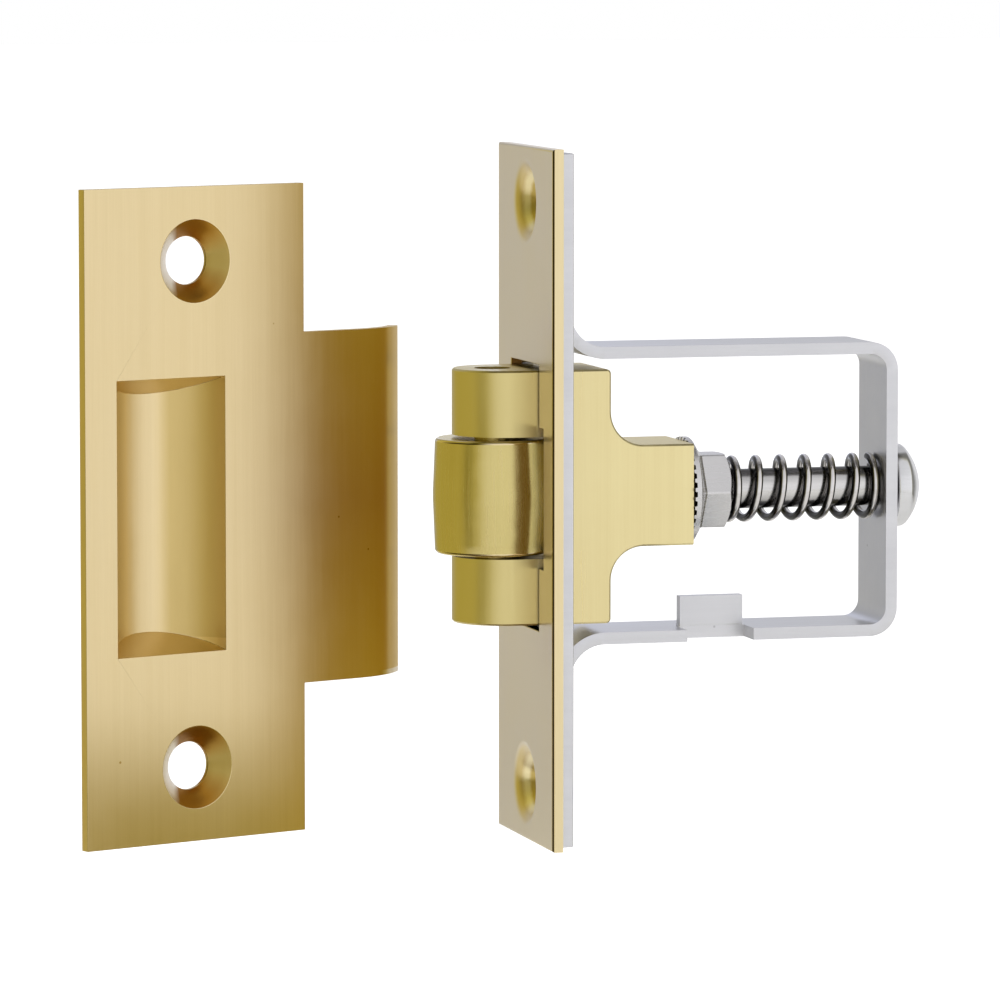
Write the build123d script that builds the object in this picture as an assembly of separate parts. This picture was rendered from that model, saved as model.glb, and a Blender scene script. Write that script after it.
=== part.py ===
from build123d import *
import math
import os

# Mortice roller latch with its lipped strike plate. Millimetres, +Z up.
# +X points into the door, the roller faces -X. The shapes below are drawn with X = 0 at the
# faceplate front, then all move together so that the origin lies level with the straight walls
# of the faceplate's two screw holes, midway between them.

# Faceplate (brass)
FACE_HEIGHT = 76.2
FACE_WIDTH = 22.7
FACE_THICK = 1.23
FACE_BEVEL = 0.2
WINDOW_HEIGHT = 29.1
WINDOW_WIDTH = 11.7
WINDOW_WIDE_HEIGHT = 15.4
WINDOW_WIDE_WIDTH = 15.3

# Dished screw holes in the faceplate
SCREW_END_DISTANCE = 6.1
SCREW_HOLE_DIA = 3.9
DISH_DIA = 8.0
DISH_DEPTH = 2.3
DISH_WALL = 1.0
DISH_CLEARANCE = 0.25

# Steel back plate behind the faceplate
BACK_INSET = 0.45
BACK_THICK = 1.3

# Roller carrier (brass)
CARRIER_THICK = 11.0
CARRIER_HEIGHT = 27.8
CARRIER_GUIDE_CLEARANCE = 0.1
CARRIER_END_CLEARANCE = 0.3
WING_BACK_X = 8.26
WING_CORNER_R = 0.5
BLOCK_HEIGHT = 11.1
BLOCK_BACK_X = 17.66
BLOCK_FILLET_R = 3.7
NOSE_TIP_X = -8.1
FORK_FLOOR_X = 3.6
EDGE_BREAK = 0.2

# Roller and its axle
ROLLER_X = -3.7
ROLLER_DIA = 13.0
ROLLER_END_DIA = 12.54
ROLLER_LENGTH = 12.6
ROLLER_END_CLEARANCE = 0.35
ROLLER_EDGE = 0.25
CROWN_FLAT = 1.0
AXLE_DIA = 3.94
AXLE_SEAT_CLEARANCE = 0.02
AXLE_RUN_CLEARANCE = 0.06
AXLE_RECESS = 1.5

# Folded steel strap welded behind the back plate
STRAP_WIDTH = 9.8
STRAP_THICK = 1.31
STRAP_HALF_HEIGHT = 16.29
STRAP_BACK_X = 41.3
STRAP_BACK_R = 3.15
FOOT_BEND_R = 3.9
FOOT_END_Z = 26.6
STRAP_HOLE_DIA = 5.8

# Stop tab cut and folded up from the lower arm
NOTCH_X = 17.15
NOTCH_LENGTH = 7.6
NOTCH_DEPTH = 3.6
TAB_SIDE_GAP = 0.2
TAB_RISE = 3.35
TAB_INNER_R = 0.3

# Adjusting screw on the latch axis
THREAD_DIA = 4.9
SHANK_DIA = 4.4
SCREW_TIP_X = 7.0
THREAD_END_X = 22.3
HEAD_GAP = 0.3
HEAD_DIA = 9.2
HEAD_CHAMFER = 0.4
HEAD_RIM = 1.7
HEAD_DOME = 1.8
HEAD_DOME_STEPS = 2
HEAD_SLOT_WIDTH = 1.2
HEAD_SLOT_DEPTH = 1.3
THREAD_CLEARANCE = 0.05

# Serrated flange lock nut
NUT_HEIGHT = 5.0
NUT_FLATS = 8.0
FLANGE_DIA = 11.8
FLANGE_RIM = 0.95
FLANGE_CONE = 0.75
FLANGE_CONE_INSET = 0.3
NUT_CHAMFER_DIA = 7.4
NUT_CHAMFER_ANGLE = 30.0

# Return spring
SPRING_OUTER_DIA = 7.4
WIRE_DIA = 0.8
SPRING_END_GAP = 0.05
WIRE_SIDES = 5
ACTIVE_TURNS = 5.5
CLOSED_TURNS = 0.5
CLOSED_PITCH = 0.9

# Strike plate (brass), in its own frame: x along the plate, y into the jamb
STRIKE_HEIGHT = 70.1
STRIKE_WIDTH = 28.1
STRIKE_THICK = 1.1
STRIKE_SCREW_SPACING = 54.2
STRIKE_HOLE_DIA = 5.15
STRIKE_CONE_DIA = 8.95
STRIKE_CONE_DEPTH = 2.2
POCKET_LEFT = 3.97
POCKET_WIDTH = 13.88
POCKET_HEIGHT = 29.5
POCKET_DEPTH = 5.1
POCKET_DRAFT = 21.0
POCKET_WALL = 1.0
LIP_HEIGHT = 38.02
LIP_FLAT_END = 35.5
LIP_RADIUS = 10.2
LIP_TURN = 44.5
STRIKE_AT = (-51.96, -14.72, -0.5)
STRIKE_ANGLE = 21.66

# Shared by both plates: the short straight wall at the bottom of each dished hole
HOLE_LAND = 0.4

# How far a cutting shape runs past the face it cuts, and how close two edges count as one
OVERCUT = 1.0
NEAR = 0.01

# Values that follow from the sizes above
ORIGIN_X = DISH_DEPTH - HOLE_LAND / 2
SCREW_SPACING = FACE_HEIGHT - 2 * SCREW_END_DISTANCE
BACK_HEIGHT = FACE_HEIGHT - 2 * BACK_INSET
BACK_WIDTH = FACE_WIDTH - 2 * BACK_INSET
BACK_FRONT_X = FACE_THICK
BACK_REAR_X = BACK_FRONT_X + BACK_THICK
BORE_DIA = THREAD_DIA + 2 * THREAD_CLEARANCE
STRAP_INNER_X = STRAP_BACK_X - STRAP_THICK
STRAP_INNER_Z = STRAP_HALF_HEIGHT - STRAP_THICK
NUT_BACK_X = BLOCK_BACK_X + NUT_HEIGHT


def box_between(x0, x1, y0, y1, z0, z1):
    """Box from its two opposite corners."""
    size = Box(x1 - x0, y1 - y0, z1 - z0)
    return Pos((x0 + x1) / 2, (y0 + y1) / 2, (z0 + z1) / 2) * size


def turned(points, axis="x"):
    """Solid of revolution from (along, radius) points."""
    if axis == "x":
        outline = Polyline(*[(a, 0, r) for a, r in points], close=True)
        return revolve(make_face(outline), Axis.X)
    outline = Polyline(*[(r, 0, a) for a, r in points], close=True)
    return revolve(make_face(outline), Axis.Z)


def rod_x(dia, x0, x1):
    """Cylinder on the latch axis."""
    return turned([(x0, 0), (x0, dia / 2), (x1, dia / 2), (x1, 0)])


def rod_z(dia, z0, z1, x=0.0):
    """Upright cylinder at x."""
    return Pos(x, 0, (z0 + z1) / 2) * Cylinder(dia / 2, z1 - z0)


def prism_xz(points, width):
    """Outline in X and Z, centred across the width."""
    outline = Polyline(*[(x, 0, z) for x, z in points], close=True)
    return extrude(make_face(outline), width / 2, dir=(0, 1, 0), both=True)


def window(x0, x1, width, height):
    """Plain upright window through a plate."""
    return box_between(x0, x1, -width / 2, width / 2, -height / 2, height / 2)


def window_cut(x0, x1, narrow_width, narrow_height):
    """Window for the carrier with the wider part for the roller."""
    tall = window(x0, x1, narrow_width, narrow_height)
    return tall + window(x0, x1, WINDOW_WIDE_WIDTH, WINDOW_WIDE_HEIGHT)


def edges_at(body, x, z):
    """Edges that run across the width at the given X and either side in Z."""
    across = body.edges().filter_by(Axis.Y)
    return [e for e in across if abs(e.center().X - x) < NEAR and abs(abs(e.center().Z) - z) < NEAR]


def dish_outer_r(hole_dia, mouth_dia, depth, wall, at):
    """Radius of the pressed metal round a dished hole at a depth below the front."""
    spread = (mouth_dia - hole_dia) / 2 / (depth - HOLE_LAND)
    return mouth_dia / 2 - spread * at + wall * math.hypot(1, spread)


def dish_metal(hole_dia, mouth_dia, depth, wall, sheet):
    """Metal pressed back round a dished hole, along +X."""
    front = sheet / 2
    r_front = dish_outer_r(hole_dia, mouth_dia, depth, wall, front)
    r_back = dish_outer_r(hole_dia, mouth_dia, depth, wall, depth)
    return turned([(front, 0), (front, r_front), (depth, r_back), (depth, 0)])


def dish_void(hole_dia, mouth_dia, depth):
    """Empty space of a dished hole along +X, with a short straight wall at its bottom."""
    r = hole_dia / 2
    end = depth + OVERCUT
    mouth = [(-OVERCUT, 0), (-OVERCUT, mouth_dia / 2), (0, mouth_dia / 2)]
    return turned(mouth + [(depth - HOLE_LAND, r), (end, r), (end, 0)])


def faceplate():
    half_w = FACE_WIDTH / 2
    half_h = FACE_HEIGHT / 2
    plate = box_between(0, FACE_THICK, -half_w, half_w, -half_h, half_h)
    plate = chamfer(plate.faces().sort_by(Axis.X)[0].edges(), FACE_BEVEL)
    metal = dish_metal(SCREW_HOLE_DIA, DISH_DIA, DISH_DEPTH, DISH_WALL, FACE_THICK)
    void = dish_void(SCREW_HOLE_DIA, DISH_DIA, DISH_DEPTH)
    for side in (-1, 1):
        plate += Pos(0, 0, side * SCREW_SPACING / 2) * metal
    for side in (-1, 1):
        plate -= Pos(0, 0, side * SCREW_SPACING / 2) * void
    return plate - window_cut(-OVERCUT, FACE_THICK + OVERCUT, WINDOW_WIDTH, WINDOW_HEIGHT)


def back_plate():
    half_w = BACK_WIDTH / 2
    half_h = BACK_HEIGHT / 2
    plate = box_between(BACK_FRONT_X, BACK_REAR_X, -half_w, half_w, -half_h, half_h)
    guide_width = CARRIER_THICK + 2 * CARRIER_GUIDE_CLEARANCE
    guide_height = CARRIER_HEIGHT + 2 * CARRIER_END_CLEARANCE
    plate -= window_cut(BACK_FRONT_X - OVERCUT, BACK_REAR_X + OVERCUT, guide_width, guide_height)
    dish_r = dish_outer_r(SCREW_HOLE_DIA, DISH_DIA, DISH_DEPTH, DISH_WALL, BACK_FRONT_X)
    for side in (-1, 1):
        hole = rod_x(2 * (dish_r + DISH_CLEARANCE), BACK_FRONT_X - OVERCUT, BACK_REAR_X + OVERCUT)
        plate -= Pos(0, 0, side * SCREW_SPACING / 2) * hole
    return plate


def carrier_outline():
    """Side outline of the carrier without its nose."""
    half_h = CARRIER_HEIGHT / 2
    half_b = BLOCK_HEIGHT / 2
    nose_x = NOSE_TIP_X + CARRIER_THICK / 2
    return [(nose_x, -half_h), (WING_BACK_X, -half_h), (WING_BACK_X, -half_b), (BLOCK_BACK_X, -half_b),
            (BLOCK_BACK_X, half_b), (WING_BACK_X, half_b), (WING_BACK_X, half_h), (nose_x, half_h)]


def roller_carrier():
    body = prism_xz(carrier_outline(), CARRIER_THICK)
    body = fillet(edges_at(body, WING_BACK_X, BLOCK_HEIGHT / 2), BLOCK_FILLET_R)
    body = fillet(edges_at(body, WING_BACK_X, CARRIER_HEIGHT / 2), WING_CORNER_R)
    nose_x = NOSE_TIP_X + CARRIER_THICK / 2
    half_h = CARRIER_HEIGHT / 2
    body += rod_z(CARRIER_THICK, -half_h, half_h, nose_x)
    fork_half = ROLLER_LENGTH / 2 + ROLLER_END_CLEARANCE
    wide = CARRIER_THICK
    body -= box_between(NOSE_TIP_X - OVERCUT, FORK_FLOOR_X, -wide, wide, -fork_half, fork_half)
    body -= rod_z(AXLE_DIA + 2 * AXLE_SEAT_CLEARANCE, -half_h - OVERCUT, half_h + OVERCUT, ROLLER_X)
    rims = [e for e in body.edges().filter_by(GeomType.CIRCLE)
            if abs(e.radius - CARRIER_THICK / 2) < NEAR and abs(abs(e.center().Z) - half_h) < NEAR]
    body = chamfer(rims, EDGE_BREAK)
    return body - rod_x(BORE_DIA, 0, BLOCK_BACK_X + OVERCUT)


def roller():
    half = ROLLER_LENGTH / 2
    r_end = ROLLER_END_DIA / 2
    r_mid = ROLLER_DIA / 2
    r_bore = AXLE_DIA / 2 + AXLE_RUN_CLEARANCE
    upper = [(half, r_bore), (half, r_end - ROLLER_EDGE), (half - ROLLER_EDGE, r_end),
             (CROWN_FLAT / 2, r_mid)]
    lower = [(-z, r) for z, r in reversed(upper)]
    return Pos(ROLLER_X, 0, 0) * turned(upper + lower, "z")


def roller_axle():
    end_z = CARRIER_HEIGHT / 2 - AXLE_RECESS
    pin = rod_z(AXLE_DIA, -end_z, end_z, ROLLER_X)
    return chamfer(pin.edges().filter_by(GeomType.CIRCLE), EDGE_BREAK)


def strap():
    z_in = STRAP_INNER_Z
    z_out = STRAP_HALF_HEIGHT
    foot_x = BACK_REAR_X + STRAP_THICK
    upper = [(BACK_REAR_X, z_in), (BACK_REAR_X, FOOT_END_Z), (foot_x, FOOT_END_Z), (foot_x, z_out),
             (STRAP_BACK_X, z_out)]
    lower = [(x, -z) for x, z in reversed(upper)]
    inside = [(BACK_REAR_X, -z_in), (STRAP_INNER_X, -z_in), (STRAP_INNER_X, z_in)]
    body = prism_xz(upper + lower[:-1] + inside, STRAP_WIDTH)
    body = fillet(edges_at(body, foot_x, z_out), FOOT_BEND_R)
    body = fillet(edges_at(body, STRAP_INNER_X, z_in), STRAP_BACK_R - STRAP_THICK)
    body = fillet(edges_at(body, BACK_REAR_X, z_in), FOOT_BEND_R + STRAP_THICK)
    body = fillet(edges_at(body, STRAP_BACK_X, z_out), STRAP_BACK_R)
    body -= rod_x(STRAP_HOLE_DIA, STRAP_INNER_X - OVERCUT, STRAP_BACK_X + OVERCUT)
    near_y = -STRAP_WIDTH / 2
    fold_y = near_y + NOTCH_DEPTH
    notch_end = NOTCH_X + NOTCH_LENGTH
    body -= box_between(NOTCH_X, notch_end, near_y - OVERCUT, fold_y, -z_out - OVERCUT, -z_in + OVERCUT)
    return body + stop_tab(fold_y)


def stop_tab(fold_y):
    """Flap folded up from the lower arm, with its near face at fold_y."""
    x0 = NOTCH_X + TAB_SIDE_GAP
    length = NOTCH_LENGTH - 2 * TAB_SIDE_GAP
    bottom = -STRAP_HALF_HEIGHT
    top = TAB_RISE - STRAP_INNER_Z
    far_y = fold_y + STRAP_THICK
    root_y = far_y + STRAP_THICK
    floor = -STRAP_INNER_Z
    corners = [(fold_y, top), (fold_y, bottom), (root_y, bottom), (root_y, floor), (far_y, floor),
               (far_y, top)]
    outline = Polyline(*[(x0, y, z) for y, z in corners], close=True)
    flap = extrude(make_face(outline), length, dir=(1, 0, 0))
    flap = fillet(edges_along(flap, far_y, floor), TAB_INNER_R)
    return fillet(edges_along(flap, fold_y, bottom), TAB_INNER_R + STRAP_THICK)


def edges_along(body, y, z):
    """Edges that run along X at the given Y and Z."""
    along = body.edges().filter_by(Axis.X)
    return [e for e in along if abs(e.center().Y - y) < NEAR and abs(e.center().Z - z) < NEAR]


def adjusting_screw():
    under_x = STRAP_BACK_X + HEAD_GAP
    rim_x = under_x + HEAD_RIM
    apex_x = rim_x + HEAD_DOME
    r = HEAD_DIA / 2
    body = rod_x(THREAD_DIA, SCREW_TIP_X, THREAD_END_X)
    body = chamfer(body.faces().sort_by(Axis.X)[0].edges(), (THREAD_DIA - SHANK_DIA) / 2 + EDGE_BREAK)
    body += rod_x(SHANK_DIA, THREAD_END_X, under_x)
    sphere_r = (r * r + HEAD_DOME * HEAD_DOME) / (2 * HEAD_DOME)
    dome = []
    for i in range(1, HEAD_DOME_STEPS + 1):
        turn = math.asin(r / sphere_r) * (1 - i / (HEAD_DOME_STEPS + 0.5))
        dome.append((apex_x - sphere_r * (1 - math.cos(turn)), sphere_r * math.sin(turn)))
    body += turned([(under_x, 0), (under_x, r - HEAD_CHAMFER), (under_x + HEAD_CHAMFER, r), (rim_x, r)] + dome
                   + [(dome[-1][0], 0)])
    slot_half = HEAD_SLOT_WIDTH / 2
    slot_floor = apex_x - HEAD_SLOT_DEPTH
    return body - box_between(slot_floor, apex_x + OVERCUT, -HEAD_DIA, HEAD_DIA, -slot_half, slot_half)


def lock_nut():
    """Hexagon nut with its flange, two corners level on either side."""
    x0 = BLOCK_BACK_X
    r_corner = NUT_FLATS / math.sqrt(3)
    r_flange = FLANGE_DIA / 2
    corners = [math.radians(60 * i) for i in range(6)]
    outline = Polyline(*[(x0, r_corner * math.cos(a), r_corner * math.sin(a)) for a in corners], close=True)
    hexagon = extrude(make_face(outline), NUT_HEIGHT, dir=(1, 0, 0))
    reach = r_corner + OVERCUT
    drop = (reach - NUT_CHAMFER_DIA / 2) * math.tan(math.radians(NUT_CHAMFER_ANGLE))
    hexagon &= turned([(x0, 0), (x0, reach), (NUT_BACK_X - drop, reach), (NUT_BACK_X, NUT_CHAMFER_DIA / 2),
                       (NUT_BACK_X, 0)])
    rim_x = x0 + FLANGE_RIM
    cone_x = rim_x + FLANGE_CONE
    r_cone = r_corner - FLANGE_CONE_INSET
    flange = turned([(x0, 0), (x0, r_flange), (rim_x, r_flange), (cone_x, r_cone), (cone_x, 0)])
    return hexagon + flange - rod_x(BORE_DIA, x0 - OVERCUT, NUT_BACK_X + OVERCUT)


def compression_spring():
    """Wire in half turns, each an arc from the lowest to the highest point or back."""
    x0 = NUT_BACK_X + SPRING_END_GAP + WIRE_DIA / 2
    x1 = STRAP_INNER_X - SPRING_END_GAP - WIRE_DIA / 2
    r = (SPRING_OUTER_DIA - WIRE_DIA) / 2
    closed = CLOSED_TURNS * CLOSED_PITCH
    pitch = (x1 - x0 - 2 * closed) / ACTIVE_TURNS
    turns = 2 * CLOSED_TURNS + ACTIVE_TURNS

    def along(turn):
        if turn <= CLOSED_TURNS:
            return x0 + turn * CLOSED_PITCH
        if turn <= CLOSED_TURNS + ACTIVE_TURNS:
            return x0 + closed + (turn - CLOSED_TURNS) * pitch
        return x1 - (turns - turn) * CLOSED_PITCH

    arcs = []
    for i in range(round(2 * turns)):
        side = 1 if i % 2 == 0 else -1
        start = along(i / 2)
        end = along((i + 1) / 2)
        middle = ((start + end) / 2, -side * math.hypot(r, (end - start) / 2), 0)
        arcs.append(ThreePointArc((start, 0, -side * r), middle, (end, 0, side * r)))
    path = Wire(arcs)
    section = Plane(path @ 0, z_dir=path % 0) * RegularPolygon(WIRE_DIA / 2, WIRE_SIDES)
    return sweep(section, path)


def strike_plate():
    half_h = STRIKE_HEIGHT / 2
    plate = box_between(0, STRIKE_WIDTH, 0, STRIKE_THICK, -half_h, half_h)
    plate += strike_lip()
    metal = dish_metal(STRIKE_HOLE_DIA, STRIKE_CONE_DIA, STRIKE_CONE_DEPTH, POCKET_WALL, STRIKE_THICK)
    void = dish_void(STRIKE_HOLE_DIA, STRIKE_CONE_DIA, STRIKE_CONE_DEPTH)
    into_jamb = Rot(0, 0, 90)
    seats = [Pos(STRIKE_WIDTH / 2, 0, side * STRIKE_SCREW_SPACING / 2) * into_jamb for side in (-1, 1)]
    for seat in seats:
        plate += seat * metal
    plate += pocket(POCKET_WALL)
    plate -= pocket(0)
    for seat in seats:
        plate -= seat * void
    return Pos(*STRIKE_AT) * Rot(0, 0, STRIKE_ANGLE) * plate


def pocket(wall):
    """Scooped pocket with sloped ends, grown outward by wall."""
    half_w = POCKET_WIDTH / 2
    radius = (half_w * half_w + POCKET_DEPTH * POCKET_DEPTH) / (2 * POCKET_DEPTH)
    centre_x = POCKET_LEFT + half_w
    slope = math.tan(math.radians(POCKET_DRAFT))
    grown = wall / math.cos(math.radians(POCKET_DRAFT))
    front = STRIKE_THICK / 2 if wall else -OVERCUT
    deep = POCKET_DEPTH + wall + OVERCUT
    half_front = POCKET_HEIGHT / 2 + grown - front * slope
    half_deep = POCKET_HEIGHT / 2 + grown - deep * slope
    corners = [(front, -half_front), (deep, -half_deep), (deep, half_deep), (front, half_front)]
    outline = Polyline(*[(0, y, z) for y, z in corners], close=True)
    ends = extrude(make_face(outline), STRIKE_WIDTH, dir=(1, 0, 0))
    scoop = Pos(centre_x, POCKET_DEPTH - radius, 0) * Cylinder(radius + wall, STRIKE_HEIGHT)
    return ends & scoop


def strike_lip():
    """Lip that carries on from the plate and rolls back round the jamb."""
    turn = math.radians(LIP_TURN)
    inner_r = LIP_RADIUS - STRIKE_THICK
    z = -LIP_HEIGHT / 2

    def on_arc(r, part):
        return (LIP_FLAT_END + r * math.sin(turn * part), LIP_RADIUS - r * math.cos(turn * part), z)

    start = STRIKE_WIDTH - OVERCUT
    outline = [Line((start, 0, z), (LIP_FLAT_END, 0, z)),
               ThreePointArc(on_arc(LIP_RADIUS, 0), on_arc(LIP_RADIUS, 0.5), on_arc(LIP_RADIUS, 1)),
               Line(on_arc(LIP_RADIUS, 1), on_arc(inner_r, 1)),
               ThreePointArc(on_arc(inner_r, 1), on_arc(inner_r, 0.5), on_arc(inner_r, 0)),
               Line((LIP_FLAT_END, STRIKE_THICK, z), (start, STRIKE_THICK, z)),
               Line((start, STRIKE_THICK, z), (start, 0, z))]
    return extrude(make_face(outline), LIP_HEIGHT, dir=(0, 0, 1))


PARTS = {
    "faceplate": faceplate,
    "back_plate": back_plate,
    "strap": strap,
    "roller_carrier": roller_carrier,
    "roller": roller,
    "roller_axle": roller_axle,
    "adjusting_screw": adjusting_screw,
    "lock_nut": lock_nut,
    "compression_spring": compression_spring,
    "strike_plate": strike_plate,
}

os.makedirs("parts", exist_ok=True)
for name, make in PARTS.items():
    export_step(Pos(-ORIGIN_X, 0, 0) * make(), f"parts/{name}.step")
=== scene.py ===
import bpy
import bmesh
import math
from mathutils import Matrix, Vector
from mathutils.geometry import delaunay_2d_cdt


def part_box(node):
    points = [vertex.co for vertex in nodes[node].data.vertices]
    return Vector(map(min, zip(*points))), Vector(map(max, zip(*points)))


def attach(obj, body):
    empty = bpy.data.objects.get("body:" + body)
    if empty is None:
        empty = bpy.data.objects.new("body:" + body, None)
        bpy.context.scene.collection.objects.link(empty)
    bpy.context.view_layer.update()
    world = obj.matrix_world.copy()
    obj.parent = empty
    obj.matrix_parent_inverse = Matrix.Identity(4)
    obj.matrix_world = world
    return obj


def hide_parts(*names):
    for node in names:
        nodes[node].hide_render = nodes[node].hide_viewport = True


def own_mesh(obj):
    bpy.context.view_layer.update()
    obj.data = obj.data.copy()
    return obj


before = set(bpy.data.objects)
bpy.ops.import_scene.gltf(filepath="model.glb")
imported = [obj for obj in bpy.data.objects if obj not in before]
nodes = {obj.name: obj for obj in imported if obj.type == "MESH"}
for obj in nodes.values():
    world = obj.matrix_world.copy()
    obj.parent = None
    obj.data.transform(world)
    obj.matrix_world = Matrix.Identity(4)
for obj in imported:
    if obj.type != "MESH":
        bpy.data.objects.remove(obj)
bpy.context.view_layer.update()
MM = 0.001

# Corners of the CAD pieces, in metres
face_lo, face_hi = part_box("faceplate")
strap_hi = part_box("strap")[1]
nut_lo, nut_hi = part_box("lock_nut")
screw_lo, screw_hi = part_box("adjusting_screw")
strike_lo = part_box("strike_plate")[0]
FRONT_X = face_lo[0]
STRAP_REAR_X = strap_hi[0]
STRAP_THICK = 1.31 * MM


# Materials

class Graph:
    """Adds nodes to one material's tree."""

    def __init__(self, name):
        self.mat = bpy.data.materials.new(name)
        self.mat.use_nodes = True
        self.tree = self.mat.node_tree
        self.bsdf = self.tree.nodes["Principled BSDF"]
        self.coords = self.add("ShaderNodeTexCoord").outputs["Object"]

    def add(self, kind, **settings):
        node = self.tree.nodes.new(kind)
        for key, value in settings.items():
            setattr(node, key, value)
        return node

    def link(self, a, b):
        self.tree.links.new(a, b)

    def set(self, **values):
        """Sets sockets of the shader that are the same all over."""
        for key, value in values.items():
            self.bsdf.inputs[key.replace("_", " ")].default_value = value

    def geometry(self, output):
        return self.add("ShaderNodeNewGeometry").outputs[output]

    def split(self, vector):
        node = self.add("ShaderNodeSeparateXYZ")
        self.link(vector, node.inputs[0])
        return node.outputs

    def math(self, operation, *values):
        node = self.add("ShaderNodeMath", operation=operation)
        for socket, value in zip(node.inputs, values):
            self.link(value, socket)
        return node.outputs[0]

    def size_of(self, value):
        return self.math("ABSOLUTE", value)

    def product(self, a, b):
        return self.math("MULTIPLY", a, b)

    def sum(self, total, *parts):
        for part in parts:
            total = self.math("ADD", total, part)
        return total

    def against(self, operation, vector, fixed):
        """Vector operation between a socket and a fixed vector."""
        node = self.add("ShaderNodeVectorMath", operation=operation)
        node.inputs[1].default_value = fixed
        self.link(vector, node.inputs[0])
        return node.outputs

    def noise(self, scale, detail, rough, stretch=(1, 1, 1)):
        mapping = self.add("ShaderNodeMapping")
        mapping.inputs["Scale"].default_value = stretch
        self.link(self.coords, mapping.inputs["Vector"])
        tex = self.add("ShaderNodeTexNoise")
        for key, value in (("Scale", scale), ("Detail", detail), ("Roughness", rough)):
            tex.inputs[key].default_value = value
        self.link(mapping.outputs["Vector"], tex.inputs["Vector"])
        return tex.outputs["Fac"]

    def lines(self, scale, detail, rough, along, keep):
        """Noise drawn out along one axis, whose frequency there is the share keep."""
        stretch = [1.0, 1.0, 1.0]
        stretch["XYZ".index(along)] = keep
        return self.noise(scale, detail, rough, tuple(stretch))

    def remap(self, value, lo, hi, out_lo=0.0, out_hi=1.0):
        node = self.add("ShaderNodeMapRange")
        for key, v in (("From Min", lo), ("From Max", hi), ("To Min", out_lo), ("To Max", out_hi)):
            node.inputs[key].default_value = v
        self.link(value, node.inputs["Value"])
        return node.outputs["Result"]

    def swing(self, noise, lo, hi):
        """Spreads the middle of a noise over a range."""
        return self.remap(noise, 0.3, 0.7, lo, hi)

    def mix(self, fac, a, b):
        node = self.add("ShaderNodeMix", data_type="RGBA")
        self.link(fac, node.inputs["Factor"])
        for value, key in ((a, 6), (b, 7)):
            if isinstance(value, tuple):
                node.inputs[key].default_value = (*value, 1)
            else:
                self.link(value, node.inputs[key])
        return node.outputs[2]

    def specks(self, scale, size, share):
        """Sparse pin-point marks: 1 on a mark, 0 elsewhere."""
        cells = self.add("ShaderNodeTexVoronoi")
        cells.inputs["Scale"].default_value = scale
        self.link(self.coords, cells.inputs["Vector"])
        near = self.remap(cells.outputs["Distance"], size, size * 1.6, 1.0, 0.0)
        split = self.add("ShaderNodeSeparateColor")
        self.link(cells.outputs["Color"], split.inputs[0])
        return self.product(near, self.remap(split.outputs[0], share, share + 0.01))

    def across(self, along):
        """Spreads highlights across brush lines that run along an axis."""
        axis = [0.0, 0.0, 0.0]
        axis["XYZ".index(along)] = 1.0
        turned = self.against("CROSS_PRODUCT", self.geometry("Normal"), axis)
        self.link(turned[0], self.bsdf.inputs["Tangent"])

    def bump(self, height, distance):
        node = self.add("ShaderNodeBump")
        node.inputs["Strength"].default_value = 1.0
        node.inputs["Distance"].default_value = distance
        self.link(height, node.inputs["Height"])
        self.link(node.outputs["Normal"], self.bsdf.inputs["Normal"])

    def finish(self, colour, rough):
        """Makes the shader a metal with this colour and roughness."""
        self.link(colour, self.bsdf.inputs["Base Color"])
        self.link(rough, self.bsdf.inputs["Roughness"])
        self.set(Metallic=1.0)
        return self.mat


STEP = 0.1 * MM   # width of the soft border between two tints


def painted_reflection_ahead(x, tone):
    """Paints a reflection tone over the metal in front of an X: a pale painted reflection on the faceplate's
    front and a deeper painted shade on the carrier's nose.
    """
    def tint(g, colour):
        return g.mix(g.remap(g.split(g.coords)["X"], x, x - STEP, 0.0, 0.85), colour, tone)
    return tint


def painted_shade_walls(half_width, tone):
    """Darkens the side walls of an opening with painted shade."""
    def tint(g, colour):
        within = g.remap(g.size_of(g.split(g.coords)["Y"]), half_width + STEP, half_width)
        sideways = g.remap(g.size_of(g.split(g.geometry("Normal"))["Y"]), 0.8, 0.95)
        return g.mix(g.product(within, sideways), colour, tone)
    return tint


def painted_light_dishes(z, rings):
    """Paints light and shade into the pressed screw dishes at plus and minus z, in rings from outside in."""
    def tint(g, colour):
        spot = g.split(g.coords)
        folded = g.add("ShaderNodeCombineXYZ")
        g.link(spot["Y"], folded.inputs["Y"])
        g.link(g.size_of(spot["Z"]), folded.inputs["Z"])
        reach = g.add("ShaderNodeVectorMath", operation="LENGTH")
        g.link(g.against("SUBTRACT", folded.outputs[0], (0, 0, z))[0], reach.inputs[0])
        streaks = g.swing(g.noise(900.0, 2.0, 0.6), -0.06 * MM, 0.06 * MM)
        far = g.sum(reach.outputs["Value"], streaks)
        for start, end, tone in rings:
            colour = g.mix(g.remap(far, start, end), colour, tone)
        return colour
    return tint


STRIKE_FLAT = (0.3691, -0.9294, 0.0)     # normal of the strike's flat
STRIKE_BODY_X = strike_lo[0] + 0.8 * MM  # leaves out the strike's outer edge
POCKET_X = strike_lo[0] + 15 * MM        # between the pocket and the lip
POCKET_Z = 14 * MM                       # just past the pocket's end walls
SEAT_Z = 19 * MM                         # the screw seats lie past it


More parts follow.
